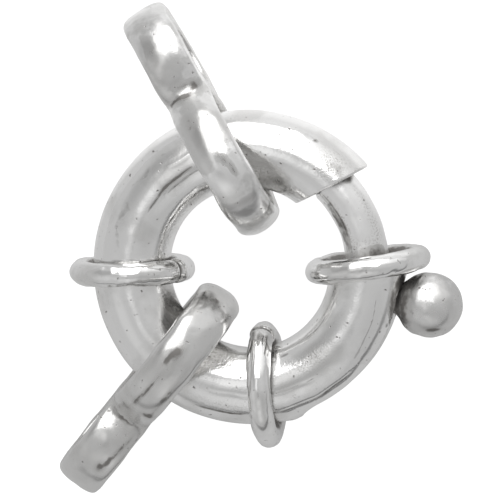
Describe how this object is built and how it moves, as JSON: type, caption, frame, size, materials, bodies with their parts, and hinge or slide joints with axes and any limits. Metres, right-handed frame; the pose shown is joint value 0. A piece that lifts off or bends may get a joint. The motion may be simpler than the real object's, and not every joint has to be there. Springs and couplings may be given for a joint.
{
  "type": "spring ring clasp",
  "caption": "Spring ring jewellery clasp in polished silver: a tube ring with a sprung curved tongue, a thumb ball, wire collars and loose figure-eight end links.",
  "frame": {"origin": "on the ring's axis, at the surface that the clasp lies on", "axes": "+Z is the ring's axis, up from the surface; +X runs from the ring's middle towards the tube's mouth and thumb ball side; +Y runs towards the upper end link"},
  "size_m": [0.0258, 0.0311, 0.0103],
  "materials": {
    "silver_tube": "polished cast silver with fine pits",
    "silver_tongue": "polished silver with lengthwise rub marks",
    "silver_ball": "polished silver with a few pits",
    "silver_collars": "bright polished silver wire",
    "silver_links": "polished cast silver, duller in the waist",
    "spring_steel": "drawn spring wire"
  },
  "bodies": {
    "ring": {"ring_tube": "silver_tube", "spring": "spring_steel", "collar_left": "silver_collars", "collar_bottom": "silver_collars", "collar_mouth": "silver_collars", "link_upper": "silver_links", "link_lower": "silver_links"},
    "trigger": {"tongue": "silver_tongue", "thumb_ball": "silver_ball"}
  },
  "joints": [
    {"name": "tongue_slide", "type": "hinge", "parent": "ring", "child": "trigger", "pos_m": [0, 0, 0.004], "axis": [0, 0, -1], "range_deg": [0, 50], "stiffness_Nm_per_rad": 0.008, "springref_deg": -34.38, "deforming": ["spring"]}
  ]
}
